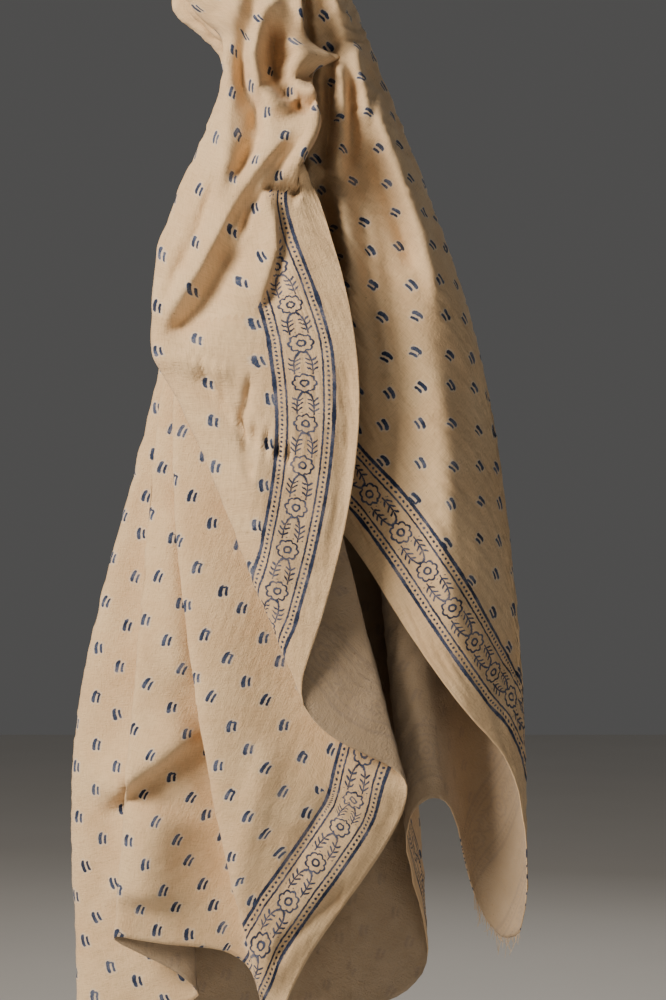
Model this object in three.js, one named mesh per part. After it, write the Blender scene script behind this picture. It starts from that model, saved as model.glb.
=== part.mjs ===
// A length of block-printed cotton, gathered by hand near the middle of one selvedge and hung up.
// It is one sheet. Fold lines fan out from the gather, so the printed selvedge falls in a cascade
// at the left front, opens at the middle, and runs down across the right front to the back.
// Millimetres, +Z up. The origin is the point it hangs from, and the front faces -Y.
import * as THREE from "three";

// Driving sizes
const CLOTH_THICKNESS = 1;
const GATHER_X = 8;
const NECK_Z = -98;
const UPPER_SHARE = 0.35;
const LOWER_SHARE = 0.7;

// The bunch above the neck: a slack lobe to the left, and folds drawn straight up on the right.
// Each height has shares of a fold's spread and depth, and a ripple that makes the folds uneven.
const BUNCH = {
  neck: { left: 0.5, right: 0.44, depth: 0.62, z: NECK_Z, ripple: 0 },
  crown: { left: 0.86, right: 0.3, depth: 0.78, z: -46, ripple: 7 },
  top: { left: 0.46, right: 0.22, depth: 0.52, z: -8, ripple: 8 },
};
const RIPPLE_TURN = 2.4;

// Sampling of the sheet: steps between neighbouring folds, and steps down each stretch of a fold
const STEPS_ACROSS = 3;
const SOFTENING_PASSES = 2;
const STEPS_DOWN = [2, 3, 5, 7, 7];

// One row for each fold line, in order round the drape from the left front selvedge to the right one.
// "upper" and "lower" are the places that the line passes at those shares of its drop, and "end" is
// where it meets the edge of the cloth. x is to the right, y is away from the viewer.
const COLUMNS = ["upper_x", "upper_y", "lower_x", "lower_y", "end_x", "end_y", "end_z"];
const FOLDS = {
  left_edge_top: [10, -44, 10, -52, 26, -64, -216],
  tongue_turn: [32, -54, 12, -70, 44, -78, -274],
  front_panel_1: [-14, -70, -4, -82, 56, -84, -330],
  front_panel_2: [-30, -63, 10, -82, 60, -84, -396],
  front_panel_3: [-48, -70, 2, -85, 48, -84, -484],
  front_panel_4: [-72, -64, -30, -84, 26, -80, -568],
  front_turn: [-112, -47, -56, -70, 10, -71, -620],
  flap_middle: [-62, -40, 4, -58, 48, -62, -658],
  flap_turn: [14, -34, 62, -46, 106, -46, -686],
  lower_panel_1: [-40, -13, 2, -32, 66, -46, -764],
  lower_panel_2: [-74, -15, -36, -54, 12, -56, -836],
  lower_panel_corner: [-97, -10, -72, -56, -14, -48, -900],
  behind_panel: [-74, 6, -54, -24, -28, -18, -832],
  pleat_face: [-92, 8, -94, -34, -96, -36, -822],
  left_pleat: [-104, 16, -132, -26, -156, -36, -810],
  behind_pleat: [-78, 27, -74, 2, -46, -6, -872],
  left_side: [-116, 37, -180, 18, -178, 16, -888],
  left_back: [-108, 54, -168, 46, -168, 44, -892],
  back_valley_1: [-70, 48, -104, 42, -110, 42, -896],
  back_ridge_1: [-62, 72, -98, 84, -112, 86, -892],
  back_valley_2: [-36, 38, -42, 34, -46, 34, -898],
  back_ridge_2: [-10, 72, 2, 86, 4, 88, -896],
  back_valley_3: [20, 32, 46, 20, 50, 22, -888],
  back_ridge_3: [54, 64, 112, 72, 130, 76, -866],
  inner_fold_left: [66, 10, 72, -8, 90, -14, -726],
  inner_fold: [84, 0, 106, -18, 133, -16, -696],
  back_ridge_4: [114, 56, 150, 64, 156, 64, -802],
  right_side: [164, 28, 192, 28, 196, 22, -838],
  right_front_turn: [144, -12, 182, -14, 192, -10, -686],
  right_panel_1: [106, -46, 138, -50, 152, -44, -640],
  right_panel_2: [74, -32, 102, -44, 116, -47, -592],
  right_panel_3: [52, -46, 70, -44, 82, -41, -540],
  right_panel_4: [36, -32, 48, -32, 52, -28, -492],
  right_edge_low: [20, -36, 14, -24, 8, -20, -448],
  right_edge_top: [12, -24, 2, -18, -14, -17, -416],
};

// A fold line from the top of the bunch, in through the neck, and down to the edge of the cloth
function foldLine(row, index) {
  const fold = Object.fromEntries(COLUMNS.map((column, i) => [column, row[i]]));
  const drop = fold.end_z - NECK_Z;
  const reach = fold.upper_x - GATHER_X;
  const ripple = Math.sin(index * RIPPLE_TURN);
  const bunched = (level) => {
    const spread = reach < 0 ? level.left : level.right;
    return new THREE.Vector3(
      GATHER_X + reach * spread,
      fold.upper_y * level.depth,
      level.z + level.ripple * ripple,
    );
  };
  return new THREE.CatmullRomCurve3([
    bunched(BUNCH.top),
    bunched(BUNCH.crown),
    bunched(BUNCH.neck),
    new THREE.Vector3(fold.upper_x, fold.upper_y, NECK_Z + drop * UPPER_SHARE),
    new THREE.Vector3(fold.lower_x, fold.lower_y, NECK_Z + drop * LOWER_SHARE),
    new THREE.Vector3(fold.end_x, fold.end_y, fold.end_z),
  ]);
}

// Rounds the turn of each fold by drawing every inner point towards its two neighbours
function soften(points) {
  return points.map((point, i) => {
    if (i === 0 || i === points.length - 1) return point;
    const middle = new THREE.Vector3().addVectors(points[i - 1], points[i + 1]).multiplyScalar(0.5);
    return middle.lerp(point, 0.5);
  });
}

// Points of the sheet's middle surface, a row for each step down and a column for each step across
function sheetGrid() {
  const lines = Object.values(FOLDS).map(foldLine);
  const stretches = STEPS_DOWN.length;
  const shares = [0];
  STEPS_DOWN.forEach((steps, stretch) => {
    for (let step = 1; step <= steps; step++) shares.push((stretch + step / steps) / stretches);
  });
  return shares.map((share) => {
    const across = new THREE.CatmullRomCurve3(lines.map((line) => line.getPoint(share)));
    let points = across.getPoints((lines.length - 1) * STEPS_ACROSS);
    for (let pass = 0; pass < SOFTENING_PASSES; pass++) points = soften(points);
    return points;
  });
}

// Unit normal of the sheet at a grid point, on the printed side
function sheetNormal(grid, down, across) {
  const last = (list) => list.length - 1;
  const left = grid[down][Math.max(across - 1, 0)];
  const right = grid[down][Math.min(across + 1, last(grid[down]))];
  const above = grid[Math.max(down - 1, 0)][across];
  const below = grid[Math.min(down + 1, last(grid))][across];
  const along = new THREE.Vector3().subVectors(right, left);
  const fall = new THREE.Vector3().subVectors(below, above);
  return along.cross(fall).normalize();
}

// A closed sheet: the printed side, the reverse side, and the thin rim that joins them
function sheetGeometry(grid) {
  const rows = grid.length;
  const columns = grid[0].length;
  const positions = [];
  for (const side of [0.5, -0.5]) {
    for (let down = 0; down < rows; down++) {
      for (let across = 0; across < columns; across++) {
        const normal = sheetNormal(grid, down, across);
        const point = grid[down][across].clone().addScaledVector(normal, side * CLOTH_THICKNESS);
        positions.push(point.x, point.y, point.z);
      }
    }
  }
  const reverse = rows * columns;
  const at = (down, across) => down * columns + across;
  const triangles = [];
  const quad = (a, b, c, d) => triangles.push(a, b, c, a, c, d);
  for (let down = 0; down + 1 < rows; down++) {
    for (let across = 0; across + 1 < columns; across++) {
      const [a, b] = [at(down, across), at(down, across + 1)];
      const [c, d] = [at(down + 1, across + 1), at(down + 1, across)];
      quad(a, b, c, d);
      quad(reverse + a, reverse + d, reverse + c, reverse + b);
    }
  }
  const rim = [];
  for (let across = 0; across + 1 < columns; across++) rim.push(at(0, across));
  for (let down = 0; down + 1 < rows; down++) rim.push(at(down, columns - 1));
  for (let across = columns - 1; across > 0; across--) rim.push(at(rows - 1, across));
  for (let down = rows - 1; down > 0; down--) rim.push(at(down, 0));
  rim.forEach((a, i) => {
    const b = rim[(i + 1) % rim.length];
    quad(a, reverse + a, reverse + b, b);
  });
  const geometry = new THREE.BufferGeometry();
  geometry.setAttribute("position", new THREE.Float32BufferAttribute(positions, 3));
  geometry.setIndex(triangles);
  geometry.computeVertexNormals();
  return geometry;
}

const cotton = new THREE.MeshStandardMaterial({ color: 0xd9bf9a, roughness: 0.95, metalness: 0 });
const cloth = new THREE.Mesh(sheetGeometry(sheetGrid()), cotton);
cloth.name = "printed_cloth";

const drape = new THREE.Group();
drape.add(cloth);
export default drape;
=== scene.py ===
"""Block-printed cotton cloth, gathered near the middle of one selvedge and hung up.

The sheet is drawn from the same fold lines as the solid. Its points are laid out flat, so that the
print runs straight along the selvedge and turns with the folds. Creases are then pressed in.
Tables are in millimetres, as in the solid. The frame is in metres.
"""
import math

import bpy
import numpy as np
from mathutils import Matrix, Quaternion, Vector


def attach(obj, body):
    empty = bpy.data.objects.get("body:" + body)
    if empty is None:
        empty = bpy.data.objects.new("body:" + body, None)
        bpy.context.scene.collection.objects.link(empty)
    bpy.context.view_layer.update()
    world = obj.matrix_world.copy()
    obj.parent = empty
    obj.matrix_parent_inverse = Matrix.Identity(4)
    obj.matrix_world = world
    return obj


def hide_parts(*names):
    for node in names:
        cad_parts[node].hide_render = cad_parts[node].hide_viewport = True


MM = 0.001

# The photo's frame: its height in metres where it is aimed, and the camera's lens
VIEW_MIDDLE = Vector((38.4, -60, -460)) * MM
VIEW_HEIGHT = 0.8
LENS = 85
SENSOR = 36
VIEW_DISTANCE = VIEW_HEIGHT * LENS / SENSOR
VIEW_END = 50
FLOOR_Z = -1.25
FLOOR_HALF = 6.0

# The drape, as in the solid
GATHER_X = 8
NECK_Z = -98
UPPER_SHARE = 0.35
LOWER_SHARE = 0.7
BUNCH = {
    "top": {"left": 0.46, "right": 0.22, "depth": 0.52, "z": -8, "ripple": 8},
    "crown": {"left": 0.86, "right": 0.3, "depth": 0.78, "z": -46, "ripple": 7},
    "neck": {"left": 0.5, "right": 0.44, "depth": 0.62, "z": NECK_Z, "ripple": 0},
}
RIPPLE_TURN = 2.4
SOLID_STEPS_ACROSS = 3
SOFTENING_PASSES = 2

# upper x, upper y, lower x, lower y, end x, end y, end z
FOLDS = {
    "left_edge_top": (10, -44, 10, -52, 26, -64, -216),
    "tongue_turn": (32, -54, 12, -70, 44, -78, -274),
    "front_panel_1": (-14, -70, -4, -82, 56, -84, -330),
    "front_panel_2": (-30, -63, 10, -82, 60, -84, -396),
    "front_panel_3": (-48, -70, 2, -85, 48, -84, -484),
    "front_panel_4": (-72, -64, -30, -84, 26, -80, -568),
    "front_turn": (-112, -47, -56, -70, 10, -71, -620),
    "flap_middle": (-62, -40, 4, -58, 48, -62, -658),
    "flap_turn": (14, -34, 62, -46, 106, -46, -686),
    "lower_panel_1": (-40, -13, 2, -32, 66, -46, -764),
    "lower_panel_2": (-74, -15, -36, -54, 12, -56, -836),
    "lower_panel_corner": (-97, -10, -72, -56, -14, -48, -900),
    "behind_panel": (-74, 6, -54, -24, -28, -18, -832),
    "pleat_face": (-92, 8, -94, -34, -96, -36, -822),
    "left_pleat": (-104, 16, -132, -26, -156, -36, -810),
    "behind_pleat": (-78, 27, -74, 2, -46, -6, -872),
    "left_side": (-116, 37, -180, 18, -178, 16, -888),
    "left_back": (-108, 54, -168, 46, -168, 44, -892),
    "back_valley_1": (-70, 48, -104, 42, -110, 42, -896),
    "back_ridge_1": (-62, 72, -98, 84, -112, 86, -892),
    "back_valley_2": (-36, 38, -42, 34, -46, 34, -898),
    "back_ridge_2": (-10, 72, 2, 86, 4, 88, -896),
    "back_valley_3": (20, 32, 46, 20, 50, 22, -888),
    "back_ridge_3": (54, 64, 112, 72, 130, 76, -866),
    "inner_fold_left": (66, 10, 72, -8, 90, -14, -726),
    "inner_fold": (84, 0, 106, -18, 133, -16, -696),
    "back_ridge_4": (114, 56, 150, 64, 156, 64, -802),
    "right_side": (164, 28, 192, 28, 196, 22, -838),
    "right_front_turn": (144, -12, 182, -14, 192, -10, -686),
    "right_panel_1": (106, -46, 138, -50, 152, -44, -640),
    "right_panel_2": (74, -32, 102, -44, 116, -47, -592),
    "right_panel_3": (52, -46, 70, -44, 82, -41, -540),
    "right_panel_4": (36, -32, 48, -32, 52, -28, -492),
    "right_edge_low": (20, -36, 14, -24, 8, -20, -448),
    "right_edge_top": (12, -24, 2, -18, -14, -17, -416),
}
FOLD_NAMES = list(FOLDS)

# Sampling of the sheet, and of the coarser grid that is laid out flat
STEPS_ACROSS = 8
ROWS = 181
ROW_SHARES = ((0, 0.167, 0.389, 1), (0, 0.4, 0.6, 1))
FLAT_STEP_ACROSS = 4
FLAT_STEP_DOWN = 5
CLOTH_THICKNESS = 0.9 * MM

# The sheet is laid out flat in two parts, which meet in a deep fold at the back. Each part has one
# end of the selvedge. Angles of its folds in the flat cloth, in degrees from the selvedge's direction.
LEFT_FAN = {"left_edge_top": 205, "lower_panel_corner": 182, "back_valley_3": 80}
RIGHT_FAN = {"back_valley_3": 80, "right_front_turn": 2, "right_edge_top": -30}
LEFT_SELVEDGE = ("left_edge_top", "lower_panel_corner", -120 * MM)
RIGHT_SELVEDGE = ("right_front_turn", "right_edge_top", 680 * MM)
FLAT_START = 0.05
FLAT_ROUNDS = 150
# The border is printed along the edge itself: how far in it is laid by the edge, and where that ends
EDGE_LAID = 62 * MM
EDGE_LEFT = 90 * MM
EDGE_PULL = 20.0
# Past its ends the edge runs on straight, as over its last few columns
EDGE_LOOK = 12
EDGE_RUN = 250 * MM
# Limits that keep the sums sound where points or triangles nearly meet
FAR = 10.0
SMALL = 1e-9
SAME_POINT = 1e-4
NO_AREA = 1e-12
SIDE_PULL_LIMITS = (0.05, 4.0)
# The print's small figures keep their shape where the drape stretches the cloth
STRETCH_LIMITS = (0.6, 1.6)
STRETCH_PASSES = 8
# A stretch of the far selvedge shows between these folds
FAR_SELVEDGE = ("back_ridge_3", "inner_fold")
# Beside the gather the print lies further in from the edge: how far, and where that begins and ends
EDGE_TURN = {"shift": 11 * MM, "from_z": -222, "to_z": -335}
TURN_RUN = EDGE_TURN["from_z"] - EDGE_TURN["to_z"]

# Folds that are pressed into the sheet, seen from the front: layer, rise towards the viewer, width on
# either side, and path as x and z. A path that runs down has its west side first, then its east side.
# A path that runs to the right has its lower side first.
LAYERS = {
    "front_left": ("left_edge_top", "front_turn"),
    "lower": ("flap_turn", "lower_panel_corner"),
    "outer_left": ("behind_panel", "left_back"),
    "right": ("right_side", "right_edge_top"),
}
STROKES = {
    "bunch_lift": ("front_left", 12, 56, 36, [(6, -36), (-4, -108), (-14, -164), (-31, -232)]),
    "left_roll": ("front_left", 14, 13, 9, [(-34, -40), (-42, -92), (-43, -136), (-47, -180), (-58, -232)]),
    "roll_valley": (
        "front_left", -13, 7, 4,
        [(-33, -90), (-32, -128), (-24, -150), (-20, -170), (-34, -196), (-46, -212)],
    ),
    "loop_band": (
        "front_left", 16, 7, 6,
        [(4, -56), (-15, -72), (-25, -108), (-20, -133), (-7, -145), (12, -153)],
    ),
    "loop_hollow": ("front_left", -22, 6, 8, [(-6, -76), (-10, -98), (-9, -118), (1, -134), (12, -145)]),
    "loop_inner": ("front_left", 9, 4, 6, [(5, -90), (2, -108), (7, -122), (17, -132)]),
    "spike": ("front_left", 17, 9, 12, [(14, -52), (17, -82), (34, -97), (58, -106)]),
    "spike_under": ("front_left", -14, 5, 4, [(5, -127), (24, -116), (48, -109)]),
    "lower_arch": ("front_left", 11, 5, 6, [(-10, -122), (4, -131), (20, -137), (36, -128)]),
    "small_hollow": ("front_left", -20, 6, 6, [(6, -142), (15, -146), (24, -150)]),
    "slant_roll": (
        "front_left", 10, 12, 4,
        [(16, -153), (-5, -177), (-25, -201), (-45, -231), (-64, -268), (-96, -326)],
    ),
    "slant_under": ("front_left", -6, 3, 4, [(20, -162), (3, -186), (-14, -208), (-29, -228), (-40, -260)]),
    "tongue": ("front_left", 21, 16, 10, [(31, -124), (27, -164), (18, -190), (4, -212)]),
    "tongue_end": ("front_left", -12, 9, 4, [(-18, -212), (-10, -210), (1, -210), (15, -215)]),
    "tuck_crease": ("front_left", 7, 14, 3, [(-16, -204), (-8, -236), (-7, -262), (-14, -286), (-22, -312)]),
    "tuck_under": ("front_left", -5, 3, 9, [(-12, -212), (-3, -236), (-3, -262), (-10, -286), (-18, -312)]),
    "left_fine_1": ("front_left", 3, 4, 3, [(-54, -140), (-62, -200), (-78, -262)]),
    "left_fine_2": ("front_left", -4, 5, 4, [(-50, -186), (-68, -240), (-94, -304)]),
    "left_fine_3": ("front_left", 3, 5, 4, [(-70, -210), (-88, -262), (-104, -322)]),
    "right_fine_1": ("right", 5, 6, 4, [(82, -84), (104, -146), (126, -214), (140, -290)]),
    "right_fine_2": ("right", -5, 4, 4, [(72, -70), (93, -124), (114, -186)]),
    "right_fine_3": ("right", 5, 5, 6, [(62, -204), (72, -256), (80, -330), (88, -400)]),
    "pleat": ("right", 17, 6, 6, [(43, -100), (46, -148), (44, -180), (42, -206)]),
    "pleat_west": ("right", -14, 5, 4, [(35, -112), (36, -156), (33, -198)]),
    "pleat_east": ("right", -10, 3, 8, [(53, -116), (53, -172), (49, -200)]),
    "second_pleat": ("right", 13, 7, 5, [(56, -92), (63, -140), (66, -166)]),
    "long_fold": ("right", 17, 6, 11, [(66, -124), (80, -170), (96, -212), (111, -256), (126, -318)]),
    "long_fold_west": ("right", -11, 9, 5, [(66, -166), (74, -192), (90, -232), (106, -280)]),
    "throat": ("right", -16, 7, 8, [(24, -198), (32, -228), (40, -284)]),
    "throat_ridge": ("right", 10, 6, 14, [(30, -200), (44, -224), (50, -262), (52, -320)]),
    "right_valley": ("right", -3, 11, 8, [(132, -300), (141, -420), (145, -572)]),
    "right_ridge": ("right", 6, 16, 9, [(120, -340), (134, -420), (131, -500), (140, -590)]),
    "right_fall": ("right", -17, 23, 30, [(158, -320), (168, -430), (174, -530), (186, -660)]),
    "right_pinch": ("right", -4, 3, 6, [(113, -456), (129, -485), (134, -528)]),
    "shoulder_valley": ("front_left", -15, 16, 7, [(-88, -334), (-66, -303), (-50, -273), (-38, -246)]),
    "shoulder_crease": ("front_left", 7, 9, 4, [(-112, -344), (-71, -347), (-33, -361)]),
    "pinch_1": ("front_left", -9, 8, 3, [(-66, -352), (-49, -377), (-31, -402)]),
    "pinch_2": ("front_left", -6, 3, 4, [(-24, -360), (-29, -382), (-34, -402)]),
    "pinch_3": ("front_left", -9, 6, 3, [(-38, -394), (-18, -412), (10, -430)]),
    "pinch_4": ("front_left", -6, 3, 4, [(-34, -394), (-31, -416), (-27, -446)]),
    "front_wave": ("front_left", 5, 12, 16, [(-40, -420), (-18, -480), (0, -540)]),
    "edge_wave": ("front_left", -4, 8, 8, [(48, -330), (52, -400), (44, -470), (34, -530)]),
    "overhang": ("outer_left", 19, 22, 7, [(-66, -640), (-102, -668), (-126, -684), (-148, -706)]),
    "crevice": ("outer_left", -4, 2, 9, [(-66, -652), (-100, -679), (-126, -700), (-140, -716)]),
    "pouch_belly": ("outer_left", 16, 24, 26, [(-96, -700), (-108, -745), (-112, -790)]),
    "pouch_side": ("outer_left", -4, 9, 4, [(-132, -690), (-137, -740), (-147, -796)]),
    "left_valley": ("outer_left", -4, 14, 18, [(-104, -420), (-118, -500), (-122, -590)]),
    "left_ridge": ("outer_left", 6, 14, 14, [(-96, -460), (-88, -540), (-80, -620)]),
    "border_crease": ("lower", -7, 4, 6, [(54, -768), (24, -792), (-1, -815), (-14, -838)]),
    "lower_wave": ("lower", 5, 12, 14, [(-4, -640), (-24, -700), (-40, -770), (-50, -830)]),
    "lower_edge": ("lower", -13, 20, 12, [(108, -672), (82, -752), (36, -812), (-8, -870), (-20, -905)]),
    "lower_wave_2": ("lower", -4, 10, 10, [(40, -690), (20, -730), (-6, -780)]),
}
STROKE_TAPER = 0.2
# A stroke acts in full where the printed side's normal points this much towards the viewer
STROKE_FACING = 0.5
# Folds that are drawn out to a point sideways: fold, how many folds it reaches, z, half height, pull in x
PULLS = {
    "spike": ("left_edge_top", 2.5, -106, 9, 36),
    "shoulder": ("front_turn", 3, -343, 40, -11),
}
PULL_POWER = 1.5
# The slight unevenness of hand-woven cloth: waves in several directions, with lengths in millimetres
CRUMPLE_SEED = 11
CRUMPLE_WAVES = 16
CRUMPLE_LENGTHS = (13, 48)
CRUMPLE_RISE = 0.4
CRUMPLE_HEADINGS = 0.6
CRUMPLE_PATCH = 3.3
# It is more creased near the bunch, from the first of these heights up to the second
CRUMPLE_BUNCH = (-330, -150)
CRUMPLE_MORE = 1.2
# Loose ends of yarn along the cut edge between two folds
FRINGE = ("back_ridge_4", "right_side")
THREAD_SEED = 5
THREAD_PITCH = 1.3 * MM
THREAD_LENGTHS = (4 * MM, 13 * MM)
THREAD_RADIUS = 0.3 * MM
THREAD_STEPS = 4
THREAD_SIDES = 3
THREAD_STRAY = 0.22
THREAD_THINNING = 0.6
THREAD_LOOK = 3
# Inside this outline the selvedge is tucked in, and the field of the print shows. x and z
TUCKED = [
    (-90, -40), (70, -40), (34, -206), (14, -214), (-13, -211), (-5, -236), (-5, -262), (-12, -285),
    (-18, -302), (-30, -312), (-90, -320),
]
TUCK_SHIFT = 80 * MM

# Print, in millimetres from the free edge and along it
BORDER_MIDDLE = 40
# Place beside the border's middle, and half the width of the line or dot
BORDER_LINES = {"edge": (20.8, 1.4), "dots": (17.0, 1.08), "inner": (13.3, 0.8)}
LINE_SWELL = 0.8
DOT_PITCH = 4.2
ROSETTE_PITCH = 37.5
ROSETTE = {"petals": 8, "radius": 7.0, "scallop": 1.5, "eye": 2.7, "half_line": 0.9}
# Stems bow out from each rosette to the next: where they begin, round off and end along the run
STEM = {"bow": 6.2, "half_line": 0.62, "from": 8.3, "to": 29.6, "round_from": 15.0, "round_run": 14.5}
LEAF = {"pitch": 4.6, "lean": 0.8, "away": 2.2, "half_length": 0.9, "half_width": 0.98, "clear": 1.6}
LEAF_RUN = (10.0, 25.0)
BUTI_PITCH = 40.0
BUTI_ROW = 20.0
BUTI_FIRST_ROW = 56.5
# No pair of dashes starts nearer to the border's middle than this
BUTI_CLEAR = 18
BUTI_STRAY = {"along": 3.0, "out": 2.0, "slant": 0.25}
BUTI_CURVE = 0.035
# Place out and along, half the length, and half the width of each dash
DASHES = {"thin": (-2.4, -0.4, 2.9, 1.2), "thick": (2.3, 0.5, 3.5, 1.75)}
# Some pairs are joined at one end: place along, half the length, and the range of half widths
ARCH = {"along": 3.6, "half_length": 2.0, "half_width": (-0.8, 1.0), "luck": (0.7, 0.95)}

# Colours. Each pair is mixed in patches
CREAM = ((0.72, 0.50, 0.285, 1), (0.80, 0.585, 0.35, 1))
# The reverse side's cream is painted darker and greyer than the printed side's: painted shade, for the
# reverse faces that lie in shade inside the drape
CREAM_REVERSE_PAINTED_SHADE = ((0.42, 0.315, 0.21, 1), (0.49, 0.375, 0.26, 1))
SLUB_BROWN = (0.50, 0.35, 0.20, 1)
SPECK_BROWN = (0.20, 0.12, 0.06, 1)
HALO_PALE = (0.72, 0.69, 0.62, 1)
INDIGO = ((0.028, 0.068, 0.17, 1), (0.009, 0.02, 0.06, 1))
LOOSE_YARN = ((0.56, 0.41, 0.25, 1), (0.72, 0.56, 0.38, 1))
PALE_FLOOR = ((0.60, 0.59, 0.57, 1), (0.64, 0.63, 0.61, 1))
COTTON_ROUGHNESS = 0.92
COTTON_SPECULAR = 0.2
COTTON_SHEEN = 0.15
SHEEN_ROUGHNESS = 0.6
FLOOR_ROUGHNESS = 0.9
# Noise: scale, and for some the detail and roughness. Scales are per millimetre of cloth, and per metre
# for the loose yarn and the floor
NOISE = {
    "swell": (0.03,),
    "thread": (1.0, 3.0),
    "patches": (0.02, 3.0, 0.6),
    "wobble": (0.45, 2.0),
    "pressure": (0.06, 3.0, 0.6),
    "grain": (1.1, 2.0),
    "pucker": (0.12, 3.0, 0.55),
    "crepe": (0.5, 3.0, 0.6),
    "loose_yarn": (300.0,),
    "floor": (3.0,),
}
# Between which values a noise takes effect, and for some what it gives at each
RAMPS = {
    "swell": (0.55, 0.75, 0.0, LINE_SWELL),
    "patches": (0.3, 0.7),
    "slubs": (0.85, 1.35, 0.0, 0.5),
    "specks": (0.03, 0.07, 0.5, 0.0),
    "pressed": (0.5, 0.95, 0.74, 1.0),
    "indigo": (0.35, 0.65),
}
# Slubs are long along their thread and short across it, and the two sets of threads differ
SLUB_ALONG = 0.11
SLUB_ACROSS = 1.4
WEFT_OFFSET = 7.0
SPECK_SCALE = 0.11
GRAIN_SHARE = 0.7
HALO_REACH = 2.2
# How far the ink spreads at its edges in millimetres, how much of it shows, and how pale its halo is
INK_PRINTED = {"blur": 0.35, "strength": 1.0, "halo": 0.4}
INK_REVERSE = {"blur": 1.2, "strength": 0.16, "halo": 0.0}
EDGE_WOBBLE = 1.3
WEAVE_PITCH = 0.9
YARN_WANDER = 0.5
# Shares of the bump's height
RELIEF = {"weave": 0.10, "yarn": 0.55, "pucker": 1.4, "crepe": 1.0}
BUMP_STRENGTH = 0.75

# place, size, watts, colour
LIGHTS = {
    "key": ((-1.8, -1.6, 0.9), 1.1, 126, (1.0, 0.88, 0.74)),
    "fill": ((1.8, -1.6, -0.5), 1.6, 3, (1.0, 0.94, 0.88)),
    "back": ((0.6, 2.2, 0.6), 1.6, 12, (1.0, 0.97, 0.93)),
}
WORLD_COLOUR = (0.70, 0.69, 0.68, 1)
WORLD_STRENGTH = 0.12


def fold_number(name):
    return FOLD_NAMES.index(name)


def fold_column(name):
    """Column of the fine grid that a fold line runs down."""
    return fold_number(name) * STEPS_ACROSS


def smooth(share):
    """A share from 0 to 1, made to start and end gently."""
    return share * share * (3 - 2 * share)


# Curves and grids

def catmull(points, places):
    """Points of a centripetal Catmull-Rom curve, at places from 0 to 1 along its control points."""
    last = len(points) - 1
    place = np.asarray(places, float) * last
    start = np.minimum(place.astype(int), last - 1)
    t = (place - start)[:, None]
    padded = np.vstack([2 * points[0] - points[1], points, 2 * points[-1] - points[-2]])
    p0, p1, p2, p3 = (padded[start + i] for i in range(4))
    d0, d1, d2 = (np.linalg.norm(b - a, axis=1)[:, None] ** 0.5 for a, b in ((p0, p1), (p1, p2), (p2, p3)))
    d1 = np.where(d1 < SAME_POINT, 1.0, d1)
    d0 = np.where(d0 < SAME_POINT, d1, d0)
    d2 = np.where(d2 < SAME_POINT, d1, d2)
    m1 = ((p1 - p0) / d0 - (p2 - p0) / (d0 + d1) + (p2 - p1) / d1) * d1
    m2 = ((p2 - p1) / d1 - (p3 - p1) / (d1 + d2) + (p3 - p2) / d2) * d1
    a = 2 * p1 - 2 * p2 + m1 + m2
    b = -3 * p1 + 3 * p2 - 2 * m1 - m2
    return ((a * t + b) * t + m1) * t + p1


def fold_line(row, index):
    """Control points of a fold line, from the top of the bunch down to the edge of the cloth."""
    upper_x, upper_y, lower_x, lower_y, end_x, end_y, end_z = row
    drop = end_z - NECK_Z
    reach = upper_x - GATHER_X
    ripple = math.sin(index * RIPPLE_TURN)
    points = []
    for level in BUNCH.values():
        spread = level["left"] if reach < 0 else level["right"]
        z = level["z"] + level["ripple"] * ripple
        points.append((GATHER_X + reach * spread, upper_y * level["depth"], z))
    points.append((upper_x, upper_y, NECK_Z + drop * UPPER_SHARE))
    points.append((lower_x, lower_y, NECK_Z + drop * LOWER_SHARE))
    points.append((end_x, end_y, end_z))
    return np.array(points, float)


def soften(points):
    """Draws every inner point of a row towards its two neighbours."""
    softer = points.copy()
    softer[1:-1] = 0.5 * points[1:-1] + 0.25 * (points[:-2] + points[2:])
    return softer


def sheet_grid():
    """Middle surface of the sheet in metres, as rows from the bunch down and columns across the folds."""
    lines = [fold_line(row, index) for index, row in enumerate(FOLDS.values())]
    gaps = len(lines) - 1
    solid_places = np.linspace(0, 1, gaps * SOLID_STEPS_ACROSS + 1)
    fine_places = np.linspace(0, 1, gaps * STEPS_ACROSS + 1)
    shares = np.interp(np.linspace(0, 1, ROWS), *ROW_SHARES)
    down = np.stack([catmull(line, shares) for line in lines], axis=1)
    grid = []
    for row in down:
        points = catmull(row, solid_places)
        for _ in range(SOFTENING_PASSES):
            points = soften(points)
        grid.append(catmull(points, fine_places))
    return np.array(grid) * MM


def normals_of(grid):
    """Unit normals of a grid on the printed side."""
    across = np.gradient(grid, axis=1)
    down = np.gradient(grid, axis=0)
    normals = np.cross(across, down)
    return normals / np.linalg.norm(normals, axis=2, keepdims=True)


# Pressing folds into the sheet

def seen_from_front(grid):
    """Places in millimetres where the camera sees the points of a grid, on the plane it is aimed at."""
    scale = VIEW_DISTANCE / (VIEW_DISTANCE + grid[:, :, 1:2] - VIEW_MIDDLE[1])
    middle = np.array([VIEW_MIDDLE[0], VIEW_MIDDLE[2]])
    return (middle + (grid[:, :, [0, 2]] - middle) * scale) / MM


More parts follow.
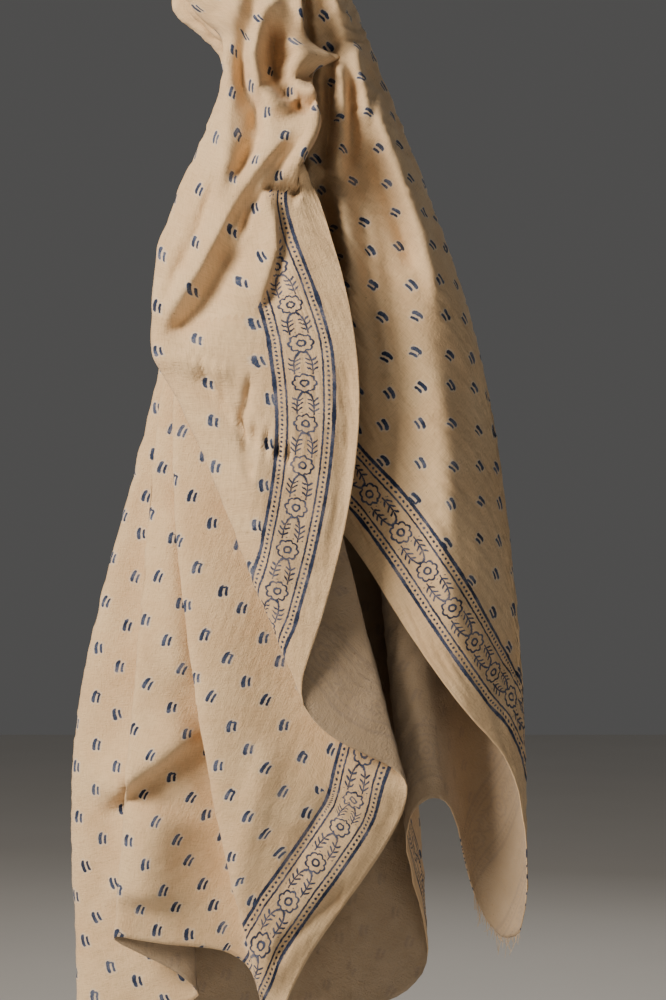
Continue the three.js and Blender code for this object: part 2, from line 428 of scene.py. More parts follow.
def stroke_shape(seen, path, west, east):
    """From 0 to 1, how far a fold along a path lifts each point."""
    path = np.array(path, float)
    sides = np.diff(path, axis=0)
    lengths = np.linalg.norm(sides, axis=1)
    nearest = np.full(seen.shape[:2], np.inf)
    beside = np.zeros(seen.shape[:2])
    along = np.zeros(seen.shape[:2])
    for i, side in enumerate(sides):
        share = np.clip((seen - path[i]) @ side / lengths[i] ** 2, 0, 1)
        gap = seen - path[i] - share[:, :, None] * side
        distance = np.linalg.norm(gap, axis=2)
        closer = distance < nearest
        nearest = np.where(closer, distance, nearest)
        beside = np.where(closer, gap @ np.array([-side[1], side[0]]) / lengths[i], beside)
        along = np.where(closer, (lengths[:i].sum() + share * lengths[i]) / lengths.sum(), along)
    width = np.where(beside > 0, east, west)
    taper = np.clip(np.minimum(along, 1 - along) / STROKE_TAPER, 0, 1)
    return np.exp(-(nearest / width) ** 2) * smooth(taper)


def press_folds(grid):
    """The sheet with its smaller folds and creases, and with the slight unevenness of hand-woven cloth."""
    seen = seen_from_front(grid)
    normals = normals_of(grid)
    facing = np.clip(-normals[:, :, 1] / STROKE_FACING, 0, 1)
    folds_at = np.linspace(0, len(FOLDS) - 1, grid.shape[1])
    rise = np.zeros(grid.shape[:2])
    for layer, height, west, east, path in STROKES.values():
        first, last = (fold_number(name) for name in LAYERS[layer])
        on_layer = (folds_at >= first) & (folds_at <= last)
        rise += height * stroke_shape(seen, path, west, east) * on_layer
    pressed = grid.copy()
    pressed[:, :, 1] -= rise * facing * MM

    for fold, reach, z, half_height, pull in PULLS.values():
        beside = np.clip(1 - np.abs(folds_at - fold_number(fold)) / reach, 0, 1)
        drawn = np.exp(-np.abs((seen[:, :, 1] - z) / half_height) ** PULL_POWER) * beside
        pressed[:, :, 0] += pull * drawn * MM
    return pressed + normals * crumple(grid)[:, :, None]


def crumple(grid):
    """How far the slight unevenness of the cloth lifts each point, in metres."""
    down = arc_lengths(grid) / MM
    across = arc_lengths(grid.swapaxes(0, 1)).swapaxes(0, 1) / MM
    dice = np.random.default_rng(CRUMPLE_SEED)
    rise = np.zeros(grid.shape[:2])
    for _ in range(CRUMPLE_WAVES):
        length = dice.uniform(*CRUMPLE_LENGTHS)
        heading = dice.normal(0, CRUMPLE_HEADINGS)
        start, patch_start = dice.uniform(0, 2 * math.pi, 2)
        along = across * math.cos(heading) + down * math.sin(heading)
        aside = down * math.cos(heading) - across * math.sin(heading)
        patch = 0.5 + 0.5 * np.sin(aside * 2 * math.pi / (CRUMPLE_PATCH * length) + patch_start)
        rise += length / CRUMPLE_LENGTHS[1] * patch * np.sin(along * 2 * math.pi / length + start)
    near_bunch = np.interp(grid[:, :, 2] / MM, CRUMPLE_BUNCH, (0, 1))
    return rise * (1 + CRUMPLE_MORE * near_bunch) * CRUMPLE_RISE * MM


def tucked_cells(grid):
    """Which cells of the front layer lie inside the outline where the selvedge is tucked in."""
    x, z = np.moveaxis(cells(seen_from_front(grid)).mean(axis=2), 2, 0)
    inside = np.zeros(x.shape, bool)
    for (x0, z0), (x1, z1) in zip(TUCKED, TUCKED[1:] + TUCKED[:1]):
        if z0 != z1:
            inside ^= ((z0 > z) != (z1 > z)) & (x < x0 + (x1 - x0) * (z - z0) / (z1 - z0))
    inside[:, fold_column("front_turn"):] = False
    return inside


# Laying the sheet out flat

def grid_triangles(rows, columns):
    """Two triangles for each cell of a grid."""
    corner = (np.arange(rows - 1)[:, None] * columns + np.arange(columns - 1)).ravel()
    upper = np.stack([corner, corner + 1, corner + columns + 1], axis=1)
    lower = np.stack([corner, corner + columns + 1, corner + columns], axis=1)
    return np.vstack([upper, lower])


class GridSolver:
    """Solves a matrix that links each row of a grid only to itself and to the rows beside it."""

    def __init__(self, matrix, rows, columns):
        blocks = matrix.reshape(rows, columns, rows, columns)
        self.beside = [blocks[r, :, r + 1, :] for r in range(rows - 1)]
        self.inverse = [np.linalg.inv(blocks[0, :, 0, :])]
        for r in range(1, rows):
            link = self.beside[r - 1]
            self.inverse.append(np.linalg.inv(blocks[r, :, r, :] - link.T @ self.inverse[-1] @ link))

    def solve(self, right):
        right = right.reshape(len(self.inverse), -1).copy()
        for r, link in enumerate(self.beside):
            right[r + 1] -= link.T @ (self.inverse[r] @ right[r])
        result = np.zeros_like(right)
        result[-1] = self.inverse[-1] @ right[-1]
        for r in range(len(self.beside) - 1, -1, -1):
            result[r] = self.inverse[r] @ (right[r] - self.beside[r] @ result[r + 1])
        return result.ravel()


def flatten(grid, angle, laid, laid_at):
    """Places of a grid's points in the flat cloth: metres along the selvedge, and metres in from it.

    Each triangle is turned to fit its neighbours, over and over, and points laid by the edge stay there.
    """
    rows, columns = grid.shape[:2]
    count = rows * columns
    triangles = grid_triangles(rows, columns)
    corners = grid.reshape(count, 3)[triangles]
    edge_1 = corners[:, 1] - corners[:, 0]
    edge_2 = corners[:, 2] - corners[:, 0]
    length = np.linalg.norm(edge_1, axis=1)
    along = edge_1 / length[:, None]
    beside_x = np.sum(edge_2 * along, axis=1)
    beside_y = np.linalg.norm(edge_2 - beside_x[:, None] * along, axis=1)
    shape = np.stack([np.zeros_like(length) + 0j, length + 0j, beside_x + 1j * beside_y], axis=1)

    # Each triangle's pull on its three sides, from the angle opposite
    laplace = np.zeros((count, count))
    pulls = []
    for a, b, c in ((0, 1, 2), (1, 2, 0), (2, 0, 1)):
        product = (shape[:, a] - shape[:, c]) * (shape[:, b] - shape[:, c]).conj()
        pull = 0.5 * product.real / np.maximum(np.abs(product.imag), NO_AREA)
        pull = np.clip(pull, *SIDE_PULL_LIMITS)
        pulls.append((a, b, pull))
        i, j = triangles[:, a], triangles[:, b]
        np.add.at(laplace, (i, i), pull)
        np.add.at(laplace, (j, j), pull)
        np.add.at(laplace, (i, j), -pull)
        np.add.at(laplace, (j, i), -pull)

    flat = ((FLAT_START + arc_lengths(grid)) * np.exp(1j * np.radians(angle))).ravel()
    held = laid.ravel() * EDGE_PULL
    laid_along, laid_in = laid_at.reshape(count, 2).T
    solver = GridSolver(laplace + np.diag(held), rows, columns)
    for _ in range(FLAT_ROUNDS):
        turn = np.zeros(len(triangles), complex)
        for a, b, pull in pulls:
            flat_side = flat[triangles[:, b]] - flat[triangles[:, a]]
            turn += pull * flat_side * (shape[:, b] - shape[:, a]).conj()
        turn /= np.maximum(np.abs(turn), NO_AREA)
        target_along = held * laid_along
        target_in = held * laid_in
        for a, b, pull in pulls:
            side = pull * turn * (shape[:, a] - shape[:, b])
            for corner, sign in ((a, 1), (b, -1)):
                target_along += np.bincount(triangles[:, corner], sign * side.real, count)
                target_in += np.bincount(triangles[:, corner], sign * side.imag, count)
        flat = solver.solve(target_along) + 1j * solver.solve(target_in)
    flat = flat.reshape(rows, columns)
    return np.stack([flat.real, flat.imag], axis=2)


def edge_places(flat, first, last, start):
    """Distance along and in from the edge of a flat sheet, and whether a point lies beside that edge."""
    edge = flat[-1, first:last + 1]
    before = edge[0] - edge[EDGE_LOOK]
    beyond = edge[-1] - edge[-1 - EDGE_LOOK]
    before *= EDGE_RUN / np.linalg.norm(before)
    beyond *= EDGE_RUN / np.linalg.norm(beyond)
    edge = np.vstack([edge[0] + before, edge, edge[-1] + beyond])
    sides = np.diff(edge, axis=0)
    arc = np.concatenate([[0], np.cumsum(np.linalg.norm(sides, axis=1))]) - EDGE_RUN
    nearest = np.full(flat.shape[:2], FAR)
    along = np.zeros(flat.shape[:2])
    beside = np.zeros(flat.shape[:2], bool)
    for i, side in enumerate(sides):
        share = (flat - edge[i]) @ side / (side @ side)
        inside = np.clip(share, 0, 1)
        gap = np.linalg.norm(flat - edge[i] - inside[:, :, None] * side, axis=2)
        closer = gap < nearest
        nearest = np.where(closer, gap, nearest)
        along = np.where(closer, arc[i] + inside * (arc[i + 1] - arc[i]), along)
        past_end = ((i == 0) & (share < 0)) | ((i == len(sides) - 1) & (share > 1))
        beside = np.where(closer, ~past_end, beside)
    return np.stack([start - along, nearest], axis=2), beside


def flat_part(grid, fan, selvedge):
    """Flat places of the part of a sheet that a fan of folds covers, as fine as the grid."""
    folds_at = np.linspace(0, len(FOLDS) - 1, grid.shape[1])
    fan_folds = [fold_number(name) for name in fan]
    inside = (folds_at >= fan_folds[0] - SAME_POINT) & (folds_at <= fan_folds[-1] + SAME_POINT)
    part = grid[:, inside]
    angle = np.interp(folds_at[inside], fan_folds, list(fan.values()))
    first, last = ((fold_number(name) - fan_folds[0]) * STEPS_ACROSS for name in selvedge[:2])
    every = (slice(None, None, FLAT_STEP_DOWN), slice(None, None, FLAT_STEP_ACROSS))

    def laid_out(laid, laid_at):
        flat = flatten(part[every], angle[every[1]], laid[every], laid_at[every])
        flat = refine(flat, part[:, every[1]], FLAT_STEP_DOWN)
        return refine(flat.swapaxes(0, 1), part.swapaxes(0, 1), FLAT_STEP_ACROSS).swapaxes(0, 1)

    # First with one point held, to measure from the edge, and again with the border laid by the edge
    one_point = np.zeros(part.shape[:2], bool)
    one_point[0, 0] = True
    free = laid_out(one_point, np.zeros((*part.shape[:2], 2)))
    by_edge, beside = edge_places(free, first, last, selvedge[2])
    flat = laid_out(beside & (by_edge[:, :, 1] < EDGE_LAID), by_edge)
    share = np.clip((EDGE_LEFT - by_edge[:, :, 1]) / (EDGE_LEFT - EDGE_LAID), 0, 1)
    share = (beside * smooth(share))[:, :, None]
    return share * by_edge + (1 - share) * flat


def stretches(grid, flat):
    """How far the drape stretches the cloth at each point: along the selvedge, and in from it."""
    across = np.gradient(grid, axis=1)
    down = np.gradient(grid, axis=0)
    flat_across = np.gradient(flat, axis=1)[:, :, None]
    flat_down = np.gradient(flat, axis=0)[:, :, None]
    turn = flat_across[..., 0] * flat_down[..., 1] - flat_across[..., 1] * flat_down[..., 0]
    turn = np.where(np.abs(turn) < SMALL, SMALL, turn)
    along = (across * flat_down[..., 1] - down * flat_across[..., 1]) / turn
    inward = (down * flat_across[..., 0] - across * flat_down[..., 0]) / turn
    sizes = np.stack([np.linalg.norm(along, axis=2), np.linalg.norm(inward, axis=2)], axis=2)
    sizes = np.clip(sizes, *STRETCH_LIMITS)
    for _ in range(STRETCH_PASSES):
        sizes = soften(soften(sizes).swapaxes(0, 1)).swapaxes(0, 1)
    return sizes


def hem_places(grid):
    """Places along the hem and in from it, for the border of the far selvedge."""
    down = arc_lengths(grid)
    along = arc_lengths(grid[-1][:, None])[:, 0]
    return np.stack([np.broadcast_to(along, down.shape), down[-1] - down], axis=2)


def arc_lengths(grid):
    """Distance along the cloth down each column of a grid."""
    arc = np.zeros(grid.shape[:2])
    arc[1:] = np.cumsum(np.linalg.norm(np.diff(grid, axis=0), axis=2), axis=0)
    return arc


def refine(values, grid, step):
    """Smooth values for each row of a grid, from values that are given for every few rows of it."""
    arc = arc_lengths(grid)[:, :, None]
    knots = arc[::step]
    gaps = np.diff(knots, axis=0)
    rises = np.diff(values, axis=0) / gaps
    middle = (rises[:-1] * gaps[1:] + rises[1:] * gaps[:-1]) / (gaps[:-1] + gaps[1:])
    slopes = np.concatenate([rises[:1], middle, rises[-1:]])
    start = np.minimum(np.arange(len(grid)) // step, len(values) - 2)
    gap = gaps[start]
    t = (arc - knots[start]) / gap
    return (
        (2 * t**3 - 3 * t**2 + 1) * values[start]
        + (t**3 - 2 * t**2 + t) * gap * slopes[start]
        + (3 * t**2 - 2 * t**3) * values[start + 1]
        + (t**3 - t**2) * gap * slopes[start + 1]
    )


# Meshes

def cells(values):
    """The four corners of each cell of a grid, in order round it."""
    return np.stack([values[:-1, :-1], values[:-1, 1:], values[1:, 1:], values[1:, :-1]], axis=2)


def halves(quads):
    """Two triangles for each cell of a grid, split the same way on both sides of the sheet."""
    both = np.concatenate([quads[:, :, [0, 1, 2]], quads[:, :, [0, 2, 3]]])
    return both.reshape(-1, 3, *quads.shape[3:])


def rim_pairs(quads):
    """Both ends of each outer side of a grid of cells, in order round the grid."""
    sides = ((quads[0], 0, 1), (quads[:, -1], 1, 2), (quads[-1, ::-1], 2, 3), (quads[::-1, 0], 3, 0))
    return np.concatenate([side[:, [a, b]] for side, a, b in sides])


def print_places(grid, flat_parts):
    """Flat places at the corners of each cell, with the far selvedge and the tucked edge put right."""
    places = np.concatenate([cells(part) for part in flat_parts], axis=1)
    first, last = (fold_column(fold) for fold in FAR_SELVEDGE)
    hem = cells(hem_places(grid))
    by_hem = hem[:, :, :, 1].mean(axis=2) < EDGE_LAID
    by_hem[:, :first] = False
    by_hem[:, last:] = False
    places[by_hem] = hem[by_hem]
    turned = np.clip((seen_from_front(grid)[:, :, 1] - EDGE_TURN["to_z"]) / TURN_RUN, 0, 1)
    turned[:, fold_column("front_turn"):] = 0
    places[:, :, :, 1] -= cells(turned) * EDGE_TURN["shift"]
    places[tucked_cells(grid), :, 1] += TUCK_SHIFT
    return places


def print_stretch(grid, flat_parts):
    """Stretch of the cloth at the corners of each cell, in both flat parts."""
    seam = flat_parts[0].shape[1] - 1
    hung_parts = (grid[:, :seam + 1], grid[:, seam:])
    sizes = [stretches(part, flat) for part, flat in zip(hung_parts, flat_parts)]
    return np.concatenate([cells(part) for part in sizes], axis=1)


def add_piece(name, mesh):
    """An object with a mesh, in the scene."""
    piece = bpy.data.objects.new(name, mesh)
    bpy.context.scene.collection.objects.link(piece)
    return piece


def sheet_mesh(name, grid, flat_parts):
    """A thin closed sheet: the printed side, the reverse side, and the rim between them."""
    rows, columns = grid.shape[:2]
    count = rows * columns
    offset = normals_of(grid) * CLOTH_THICKNESS / 2
    vertices = np.vstack([(grid + offset).reshape(-1, 3), (grid - offset).reshape(-1, 3)])
    quads = cells(np.arange(count).reshape(rows, columns))
    printed = halves(quads)
    reverse = printed[:, ::-1] + count
    rim = rim_pairs(quads)
    rim_faces = np.stack([rim[:, 0], rim[:, 0] + count, rim[:, 1] + count, rim[:, 1]], axis=1)
    faces = printed.tolist() + reverse.tolist() + rim_faces.tolist()

    mesh = bpy.data.meshes.new(name)
    mesh.from_pydata(vertices.tolist(), [], faces)
    layers = {"cloth": print_places(grid, flat_parts), "stretch": print_stretch(grid, flat_parts)}
    for layer_name, values in layers.items():
        printed_values = halves(values)
        corners = [printed_values, printed_values[:, ::-1], rim_pairs(values)[:, [0, 0, 1, 1]]]
        corners = np.concatenate([part.ravel() for part in corners]).astype(np.float32)
        mesh.uv_layers.new(name=layer_name).data.foreach_set("uv", corners)
    slots = np.zeros(len(faces), np.int32)
    slots[len(printed):2 * len(printed)] = 1
    mesh.polygons.foreach_set("material_index", slots)
    mesh.polygons.foreach_set("use_smooth", np.ones(len(faces), bool))
    mesh.update()
    return add_piece(name, mesh)


def at_arc(values, arc, place):
    """Values at a place along an edge, between its points."""
    return np.array([np.interp(place, arc, column) for column in values.T])


def thread_paths(grid):
    """Points along each loose end of yarn, which leaves the cut edge the way the cloth runs there."""
    first, last = (fold_column(fold) for fold in FRINGE)
    edge = grid[-1, first:last + 1]
    fall = edge - grid[-1 - THREAD_LOOK, first:last + 1]
    fall /= np.linalg.norm(fall, axis=1)[:, None]
    arc = arc_lengths(edge[:, None])[:, 0]
    dice = np.random.default_rng(THREAD_SEED)
    share = np.linspace(0, 1, THREAD_STEPS)[:, None]
    paths = []
    for place in np.arange(0, arc[-1], THREAD_PITCH):
        start = at_arc(edge, arc, place)
        way = at_arc(fall, arc, place) + dice.normal(0, THREAD_STRAY, 3)
        bend = dice.normal(0, THREAD_STRAY, 3)
        paths.append(start + dice.uniform(*THREAD_LENGTHS) * (share * way + share**2 * bend))
    return paths


def thread_mesh(name, paths):
    """Thin closed tubes along paths, as one piece."""
    vertices = []
    faces = []
    for path in paths:
        way = Vector(path[-1] - path[0]).normalized()
        side = way.orthogonal().normalized()
        base = len(vertices)
        for ring, point in enumerate(path):
            radius = THREAD_RADIUS * (1 - THREAD_THINNING * ring / THREAD_STEPS)
            for corner in range(THREAD_SIDES):
                spoke = side.copy()
                spoke.rotate(Quaternion(way, 2 * math.pi * corner / THREAD_SIDES))
                vertices.append(Vector(point) + spoke * radius)
        for ring in range(THREAD_STEPS - 1):
            for corner in range(THREAD_SIDES):
                a = base + ring * THREAD_SIDES + corner
                b = base + ring * THREAD_SIDES + (corner + 1) % THREAD_SIDES
                faces.append((a, b, b + THREAD_SIDES, a + THREAD_SIDES))
        end = base + (THREAD_STEPS - 1) * THREAD_SIDES
        faces.append(tuple(range(base + THREAD_SIDES - 1, base - 1, -1)))
        faces.append(tuple(range(end, end + THREAD_SIDES)))
    mesh = bpy.data.meshes.new(name)
    mesh.from_pydata(vertices, [], faces)
    mesh.update()
    return add_piece(name, mesh)


# Materials

class Graph:
    """Adds nodes to a material, with sockets or plain numbers as inputs."""

    def __init__(self, name):
        self.material = bpy.data.materials.new(name)
        self.material.use_nodes = True
        self.tree = self.material.node_tree
        self.shader = self.tree.nodes["Principled BSDF"]

    def node(self, kind, inputs=(), **settings):
        node = self.tree.nodes.new(kind)
        for key, value in settings.items():
            setattr(node, key, value)
        for key, value in dict(inputs).items():
            self.put(node.inputs[key], value)
        return node

    def put(self, socket, value):
        if isinstance(value, bpy.types.NodeSocket):
            self.tree.links.new(value, socket)
        else:
            socket.default_value = value

    def math(self, operation, *values, clamp=False):
        node = self.node("ShaderNodeMath", enumerate(values), operation=operation, use_clamp=clamp)
        return node.outputs[0]

    def add(self, a, b):
        return self.math("ADD", a, b)

    def less(self, a, b):
        return self.math("SUBTRACT", a, b)

    def times(self, a, b):
        return self.math("MULTIPLY", a, b)

    def least(self, first, *others):
        for other in others:
            first = self.math("MINIMUM", first, other)
        return first

    def most(self, first, *others):
        for other in others:
            first = self.math("MAXIMUM", first, other)
        return first

    def away(self, value, place):
        """Distance of a value from a place."""
        return self.math("ABSOLUTE", self.less(value, place))

    def size(self, a, b):
        return self.math("SQRT", self.add(self.times(a, a), self.times(b, b)))

    def repeat(self, value, pitch):
        """Distance from the middle of the cell that a value falls in."""
        return self.less(self.math("FLOORED_MODULO", value, pitch), pitch / 2)

    def ramp(self, value, low, high, to_low=0.0, to_high=1.0):
        inputs = {"Value": value, "From Min": low, "From Max": high, "To Min": to_low, "To Max": to_high}
        return self.node("ShaderNodeMapRange", inputs, interpolation_type="SMOOTHSTEP").outputs["Result"]

    def vector(self, x, y, z=0.0):
        return self.node("ShaderNodeCombineXYZ", {"X": x, "Y": y, "Z": z}).outputs[0]

    def noise(self, vector, scale, detail=2.0, rough=0.5):
        inputs = {"Vector": vector, "Scale": scale, "Detail": detail, "Roughness": rough}
        return self.node("ShaderNodeTexNoise", inputs).outputs["Fac"]

    def random(self, vector):
        return self.node("ShaderNodeTexWhiteNoise", {"Vector": vector}, noise_dimensions="2D")

    def mix(self, factor, a, b):
        # Sockets by number, because those for numbers and for colours have the same names
        node = self.node("ShaderNodeMix", data_type="RGBA")
        for index, value in ((0, factor), (6, a), (7, b)):
            self.put(node.inputs[index], value)
        return node.outputs[2]


def border_distance(g, s, w):
    """Distance in millimetres from the lines, dots, rosettes and sprigs of the border."""
    t = g.less(w, BORDER_MIDDLE)
    a = g.math("ABSOLUTE", t)
    edge_at, edge_half = BORDER_LINES["edge"]
    dots_at, dot_radius = BORDER_LINES["dots"]
    inner_at, inner_half = BORDER_LINES["inner"]
    swell = g.ramp(g.noise(g.vector(s, w), *NOISE["swell"]), *RAMPS["swell"])
    edge = g.less(g.less(g.away(a, edge_at), edge_half), swell)
    inner = g.less(g.away(a, inner_at), inner_half)
    dots = g.less(g.size(g.repeat(s, DOT_PITCH), g.less(a, dots_at)), dot_radius)

    across = g.repeat(s, ROSETTE_PITCH)
    reach = g.size(across, t)
    around = g.times(g.math("ARCTAN2", t, across), ROSETTE["petals"] / 2)
    petals = g.math("ABSOLUTE", g.math("COSINE", around))
    scallop = g.add(g.times(petals, ROSETTE["scallop"]), ROSETTE["radius"])
    outline = g.less(g.away(reach, scallop), ROSETTE["half_line"])
    ring = g.less(g.away(reach, ROSETTE["eye"]), ROSETTE["half_line"])

    # Two stems leave each rosette side by side and meet at the next one, with a row of leaves on each side
    run = g.math("FLOORED_MODULO", g.less(s, ROSETTE_PITCH / 2), ROSETTE_PITCH)
    bend = g.most(g.math("DIVIDE", g.less(run, STEM["round_from"]), STEM["round_run"]), 0.0)
    bow = g.times(g.less(g.size(bend, g.math("DIVIDE", a, STEM["bow"])), 1.0), STEM["bow"])
    beside = g.math("ABSOLUTE", bow)
    stem = g.most(g.less(beside, STEM["half_line"]), g.less(STEM["from"], run), g.less(run, STEM["to"]))
    leaf_along = g.repeat(g.less(run, g.times(beside, LEAF["lean"])), LEAF["pitch"])
    leaf_beyond = g.most(g.less(g.away(beside, LEAF["away"]), LEAF["half_length"]), 0.0)
    leaf = g.less(g.size(leaf_along, leaf_beyond), LEAF["half_width"])
    leaf = g.most(leaf, g.less(LEAF_RUN[0], run), g.less(run, LEAF_RUN[1]), g.less(LEAF["clear"], a))
    return g.least(edge, inner, dots, outline, ring, stem, leaf)


def buti_distance(g, s, w, stretch):
    """Distance in millimetres from the scattered pairs of dashes."""
    row = g.math("FLOOR", g.math("DIVIDE", g.less(w, BUTI_FIRST_ROW), BUTI_ROW))
    shifted = g.add(s, g.times(row, BUTI_PITCH / 2))
    cell = g.math("FLOOR", g.math("DIVIDE", shifted, BUTI_PITCH))
    dice = g.random(g.vector(cell, row))
    luck = dice.outputs["Value"]
    parts = g.node("ShaderNodeSeparateColor", {"Color": dice.outputs["Color"]}).outputs

    def strayed(value, part, key):
        return g.add(value, g.ramp(part, 0.0, 1.0, -BUTI_STRAY[key], BUTI_STRAY[key]))

    along = g.times(strayed(g.repeat(shifted, BUTI_PITCH), parts[0], "along"), stretch[0])
    out = g.times(strayed(g.repeat(g.less(w, BUTI_FIRST_ROW), BUTI_ROW), parts[1], "out"), stretch[1])
    slant = g.ramp(parts[2], 0.0, 1.0, -BUTI_STRAY["slant"], BUTI_STRAY["slant"])
    along, out = g.add(along, g.times(out, slant)), g.less(out, g.times(along, slant))
    curve = g.times(g.times(along, along), BUTI_CURVE)

    def dash(middle, shift, half_length, radius):
        beyond = g.most(g.less(g.away(along, shift), half_length), 0.0)
        beside = g.less(g.add(out, curve), middle)
        return g.less(g.size(beyond, beside), radius)

    over = g.most(g.less(g.math("ABSOLUTE", out), ARCH["half_length"]), 0.0)
    arch_width = g.ramp(luck, *ARCH["luck"], *ARCH["half_width"])
    arch = g.less(g.size(g.less(along, ARCH["along"]), over), arch_width)
    field = g.less(BORDER_MIDDLE + BUTI_CLEAR, w)
    return g.most(g.least(*(dash(*row) for row in DASHES.values()), arch), field)


def cloth_material(name, printed):
    """Unbleached cotton with its weave, slubs and specks, printed in indigo, or on the reverse side showing
    the print faintly on a cream that is painted darker as shade.
    """
    g = Graph(name)
    # The reverse side gets the darker cream, which is painted shade
    base, inked = (CREAM, INK_PRINTED) if printed else (CREAM_REVERSE_PAINTED_SHADE, INK_REVERSE)
    cloth = g.node("ShaderNodeUVMap", uv_map="cloth").outputs[0]
    split = g.node("ShaderNodeSeparateXYZ", {"Vector": cloth}).outputs
    s = g.times(split[0], 1 / MM)
    w = g.times(split[1], 1 / MM)
    place = g.vector(s, w)
    sizes = g.node("ShaderNodeUVMap", uv_map="stretch").outputs[0]
    stretch = g.node("ShaderNodeSeparateXYZ", {"Vector": sizes}).outputs

    # The yarn: slubs along both threads, and patches that are paler or browner
    warp_place = g.vector(g.times(s, SLUB_ALONG), g.times(w, SLUB_ACROSS))
    weft_place = g.vector(g.times(s, SLUB_ACROSS), g.times(w, SLUB_ALONG), WEFT_OFFSET)
    warp = g.noise(warp_place, *NOISE["thread"])
    weft = g.noise(weft_place, *NOISE["thread"])
    yarn = g.add(warp, weft)
    patches = g.noise(place, *NOISE["patches"])
    cream = g.mix(g.ramp(patches, *RAMPS["patches"]), *base)
    cream = g.mix(g.ramp(yarn, *RAMPS["slubs"]), cream, SLUB_BROWN)
    speck_cells = g.node("ShaderNodeTexVoronoi", {"Vector": place, "Scale": SPECK_SCALE}, feature="F1")
    speck = g.ramp(speck_cells.outputs["Distance"], *RAMPS["specks"])
    cream = g.mix(speck, cream, SPECK_BROWN)

    # The print: uneven edges, and ink that is thin where the block pressed less
    wobble = g.times(g.less(g.noise(place, *NOISE["wobble"]), 0.5), EDGE_WOBBLE)
    border = border_distance(g, s, w)
    buti = buti_distance(g, s, w, stretch)
    distance = g.add(g.math("MINIMUM", border, buti), wobble)
    ink = g.ramp(distance, -inked["blur"], inked["blur"], 1.0, 0.0)
    pressure = g.noise(place, *NOISE["pressure"])
    grain = g.noise(place, *NOISE["grain"])
    pressed = g.ramp(g.add(pressure, g.times(grain, GRAIN_SHARE)), *RAMPS["pressed"])
    indigo = g.mix(g.ramp(pressure, *RAMPS["indigo"]), *INDIGO)
    halo = g.ramp(buti, 0.0, HALO_REACH, inked["halo"], 0.0)
    cream = g.mix(halo, cream, HALO_PALE)
    colour = g.mix(g.times(g.times(ink, pressed), inked["strength"]), cream, indigo)
    g.put(g.shader.inputs["Base Color"], colour)

    g.shader.inputs["Roughness"].default_value = COTTON_ROUGHNESS
    g.shader.inputs["Specular IOR Level"].default_value = COTTON_SPECULAR
    g.shader.inputs["Sheen Weight"].default_value = COTTON_SHEEN
    g.shader.inputs["Sheen Roughness"].default_value = SHEEN_ROUGHNESS

    # The plain weave, over and under, with uneven yarn
    waves = []
    for run, thread in ((w, warp), (s, weft)):
        wandered = g.add(run, g.times(thread, YARN_WANDER))
        waves.append(g.math("SINE", g.times(wandered, 2 * math.pi / WEAVE_PITCH)))
    weave = g.times(*waves)
    height = g.add(g.times(weave, RELIEF["weave"]), g.times(yarn, RELIEF["yarn"]))
    pucker = g.noise(place, *NOISE["pucker"])
    crepe = g.noise(place, *NOISE["crepe"])
    height = g.add(height, g.add(g.times(pucker, RELIEF["pucker"]), g.times(crepe, RELIEF["crepe"])))
    bump = g.node("ShaderNodeBump", {"Height": height, "Strength": BUMP_STRENGTH, "Distance": MM})
    g.put(g.shader.inputs["Normal"], bump.outputs[0])
    return g.material


def thread_material():
    g = Graph("loose_yarn")
    place = g.node("ShaderNodeTexCoord").outputs["Object"]
    tone = g.noise(place, *NOISE["loose_yarn"])
    g.put(g.shader.inputs["Base Color"], g.mix(tone, *LOOSE_YARN))
    g.shader.inputs["Roughness"].default_value = COTTON_ROUGHNESS
    g.shader.inputs["Specular IOR Level"].default_value = COTTON_SPECULAR
    return g.material


def floor_material():
    g = Graph("pale_floor")
    place = g.node("ShaderNodeTexCoord").outputs["Object"]
    tone = g.noise(place, *NOISE["floor"])
    g.put(g.shader.inputs["Base Color"], g.mix(tone, *PALE_FLOOR))
    g.shader.inputs["Roughness"].default_value = FLOOR_ROUGHNESS
    return g.material


# Stage

def add_floor():
    mesh = bpy.data.meshes.new("floor")
    corners = [(x * FLOOR_HALF, y * FLOOR_HALF, FLOOR_Z) for x, y in ((-1, -1), (1, -1), (1, 1), (-1, 1))]
    mesh.from_pydata(corners, [], [(0, 1, 2, 3)])
    mesh.materials.append(floor_material())
    add_piece("floor", mesh)


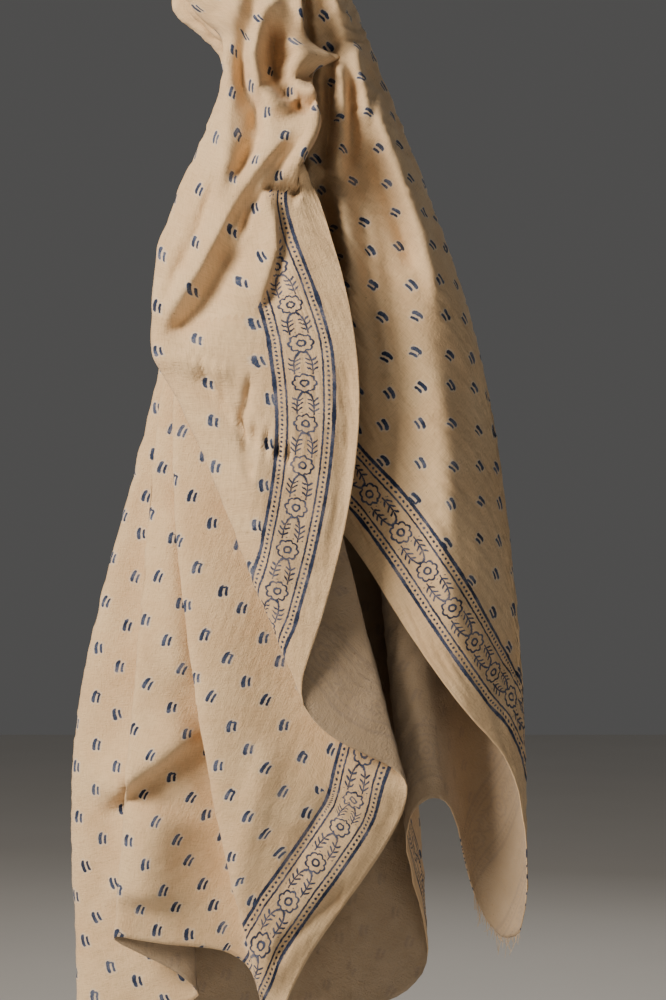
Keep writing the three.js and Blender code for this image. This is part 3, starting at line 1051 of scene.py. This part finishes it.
def add_camera():
    data = bpy.data.cameras.new("photo_view")
    data.sensor_fit = "VERTICAL"
    data.sensor_height = SENSOR
    data.lens = LENS
    data.clip_end = VIEW_END
    camera = bpy.data.objects.new("photo_view", data)
    camera.location = VIEW_MIDDLE + Vector((0, -VIEW_DISTANCE, 0))
    camera.rotation_euler = (math.radians(90), 0, 0)
    bpy.context.scene.collection.objects.link(camera)
    bpy.context.scene.camera = camera


def add_lights():
    for name, (place, size, watts, colour) in LIGHTS.items():
        data = bpy.data.lights.new(name, "AREA")
        data.size = size
        data.energy = watts
        data.color = colour
        light = bpy.data.objects.new(name, data)
        light.location = place
        aim = VIEW_MIDDLE - Vector(place)
        light.rotation_euler = aim.to_track_quat("-Z", "Y").to_euler()
        bpy.context.scene.collection.objects.link(light)
    world = bpy.data.worlds.new("studio")
    world.use_nodes = True
    world.node_tree.nodes["Background"].inputs["Color"].default_value = WORLD_COLOUR
    world.node_tree.nodes["Background"].inputs["Strength"].default_value = WORLD_STRENGTH
    bpy.context.scene.world = world


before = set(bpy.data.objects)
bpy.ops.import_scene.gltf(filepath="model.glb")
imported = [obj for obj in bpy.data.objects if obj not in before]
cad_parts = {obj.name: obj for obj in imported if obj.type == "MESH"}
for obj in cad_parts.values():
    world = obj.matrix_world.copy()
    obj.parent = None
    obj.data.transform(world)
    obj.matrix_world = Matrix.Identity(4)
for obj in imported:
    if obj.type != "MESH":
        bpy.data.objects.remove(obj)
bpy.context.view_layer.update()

grid = sheet_grid()
flat_parts = [flat_part(grid, LEFT_FAN, LEFT_SELVEDGE), flat_part(grid, RIGHT_FAN, RIGHT_SELVEDGE)]
hung = press_folds(grid)
cloth = sheet_mesh("printed_cloth_sheet", hung, flat_parts)
cloth.data.materials.append(cloth_material("printed_side", True))
# The reverse side's material has its cream painted darker, as shade
cloth.data.materials.append(cloth_material("reverse_side_painted_shade", False))

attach(cloth, "root")
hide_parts("printed_cloth")

threads = thread_mesh("frayed_threads", thread_paths(hung))
threads.data.materials.append(thread_material())
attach(threads, "root")

add_floor()
add_lights()
add_camera()
